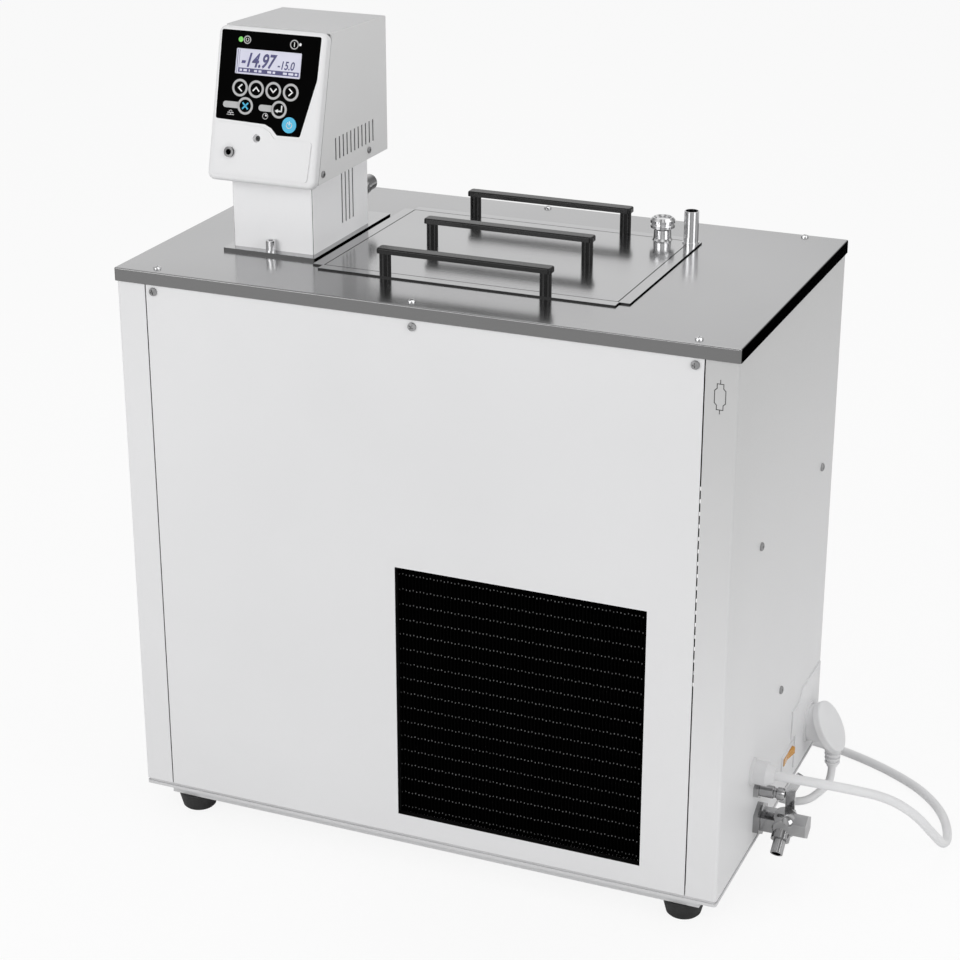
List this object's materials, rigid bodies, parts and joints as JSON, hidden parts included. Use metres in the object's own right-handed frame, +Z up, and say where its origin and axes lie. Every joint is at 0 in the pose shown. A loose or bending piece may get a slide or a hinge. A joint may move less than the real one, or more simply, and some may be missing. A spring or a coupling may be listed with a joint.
{
  "type": "refrigerated circulating bath",
  "caption": "Floor-standing refrigerated circulating bath: white sheet cabinet with a stainless deck and lidded bath, a control head on a neck, and a window before its condenser.",
  "frame": {"origin": "on the floor, below the middle of the object's box, measured without the cords", "axes": "+Z up, -Y out of the long front with the window, +X towards the side with the cord, tap and switch"},
  "size_m": [0.7671, 0.5099, 0.7792],
  "materials": {
    "painted_steel": "satin",
    "white_paint": "satin",
    "grey_paint": "satin",
    "black_paint": "satin",
    "fin_black": "matte",
    "zinc_steel": "satin",
    "stainless": "satin",
    "chrome": "polished",
    "cast_metal": "cast",
    "copper": "drawn",
    "black_rubber": "matte",
    "black_plastic": "gloss",
    "white_plastic": "fine texture",
    "orange_plastic": "gloss",
    "film": "satin print",
    "display": "gloss",
    "cord_white": "satin",
    "foam": "foam"
  },
  "bodies": {
    "cabinet": {"base_tray": "painted_steel", "foot_front_left": "black_rubber", "foot_front_right": "black_rubber", "foot_rear_left": "black_rubber", "foot_rear_right": "black_rubber", "chassis_frame": "zinc_steel", "side_panel_left": "white_paint", "side_panel_right": "white_paint", "front_panel": "white_paint", "back_panel": "white_paint", "top_deck": "stainless", "panel_screws": "chrome", "deck_screws": "chrome", "bath_tub": "stainless", "bath_insulation": "foam", "evaporator_coil": "stainless", "bath_lid": "stainless", "lid_handle_front": "black_plastic", "lid_handle_middle": "black_plastic", "lid_handle_rear": "black_plastic", "lid_stopper": "chrome", "lid_tube": "stainless", "head_flange": "stainless", "thumb_nuts": "chrome", "head_column": "white_paint", "head_cover": "grey_paint", "head_bezel": "white_plastic", "keypad_film": "film", "display_window": "display", "sensor_socket": "chrome", "head_screws": "chrome", "head_cord_bush": "cord_white", "pump_motor": "cast_metal", "pump_housing": "stainless", "heater_coil": "stainless", "temperature_probe": "stainless", "pump_fittings": "chrome", "compressor": "black_paint", "compressor_grommets": "black_rubber", "condenser_fins": "fin_black", "condenser_tubes": "copper", "fan_shroud": "black_paint", "fan_motor": "black_paint", "refrigerant_pipe": "copper", "side_socket": "white_plastic", "head_plug": "cord_white", "head_cord": "cord_white", "mains_gland": "white_plastic", "mains_cable": "cord_white", "mains_coil": "cord_white", "mains_plug": "cord_white", "switch_frame": "white_plastic", "overflow_nipple": "chrome", "drain_valve": "chrome"},
    "rocker": {"switch_rocker": "orange_plastic"},
    "lever": {"valve_lever": "stainless"},
    "fan": {"fan_blade": "black_plastic"},
    "pump_rotor": {"pump_shaft": "stainless", "pump_impeller": "black_plastic"},
    "adjuster": {"limit_adjuster": "black_plastic"}
  },
  "joints": [
    {"name": "rocker_tilt", "type": "hinge", "parent": "cabinet", "child": "rocker", "pos_m": [0.2707, 0.054, 0.074], "axis": [0, 0, 1], "range_deg": [0, 8]},
    {"name": "lever_turn", "type": "hinge", "parent": "cabinet", "child": "lever", "pos_m": [0.3017, -0.027, 0.058], "axis": [0, 1, 0], "range_deg": [0, 90]},
    {"name": "fan_spin", "type": "hinge", "parent": "cabinet", "child": "fan", "pos_m": [0.078, -0.092, 0.1887], "axis": [0, 1, 0], "continuous": true},
    {"name": "pump_spin", "type": "hinge", "parent": "cabinet", "child": "pump_rotor", "pos_m": [-0.2088, -0.028, 0.444], "axis": [0, 0, 1], "continuous": true},
    {"name": "adjuster_turn", "type": "hinge", "parent": "cabinet", "child": "adjuster", "pos_m": [-0.2152, -0.0906, 0.68373], "axis": [0, -0.9658, 0.2595], "range_deg": [-135, 135]}
  ]
}
